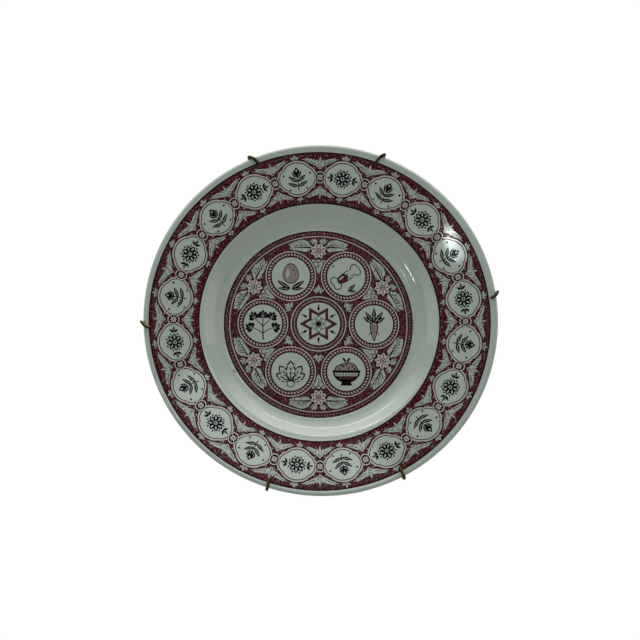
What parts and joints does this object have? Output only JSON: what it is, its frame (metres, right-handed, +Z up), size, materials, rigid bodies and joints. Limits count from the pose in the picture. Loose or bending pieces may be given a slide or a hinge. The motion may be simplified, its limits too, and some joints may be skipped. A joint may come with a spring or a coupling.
{
  "type": "wall-hung seder plate",
  "caption": "Round printed pottery seder plate with a wide sloping rim, held by wire claws in a spring hanger with a loop for a wall nail.",
  "frame": {"origin": "middle of a 3 mm nail where it bears in the hanging loop behind the plate, on the middle of the loop's wire", "axes": "+Z up; -Y is the way the plate's face looks; +X to the right of someone who looks at the face"},
  "size_m": [0.2533, 0.0296, 0.25],
  "materials": {
    "glaze": "glossy pale grey-green glaze over a dark maroon transfer print",
    "brass_wire": "dull olive brass, hand-bent wire",
    "spring_steel": "drawn spring wire"
  },
  "bodies": {
    "hanger_top": {"upper_bow": "brass_wire", "main_spring": "spring_steel"},
    "plate_and_lower_bow": {"plate": "glaze", "lower_bow": "brass_wire", "left_spring": "spring_steel", "right_spring": "spring_steel"},
    "left_side": {"left_arm": "brass_wire"},
    "right_side": {"right_arm": "brass_wire"}
  },
  "joints": [
    {"name": "plate_drop", "type": "slide", "parent": "hanger_top", "child": "plate_and_lower_bow", "axis": [0, 0, -1], "range_m": [0, 0.01], "stiffness_N_per_m": 400, "springref_m": -0.04, "deforming": ["main_spring"]},
    {"name": "left_claw_pull", "type": "slide", "parent": "plate_and_lower_bow", "child": "left_side", "axis": [-0.8932, 0, 0.4496], "range_m": [0, 0.01], "stiffness_N_per_m": 300, "springref_m": -0.03, "deforming": ["left_spring"]},
    {"name": "right_claw_pull", "type": "slide", "parent": "plate_and_lower_bow", "child": "right_side", "axis": [0.8597, 0, 0.5108], "range_m": [0, 0.01], "stiffness_N_per_m": 300, "springref_m": -0.03, "deforming": ["right_spring"]}
  ]
}
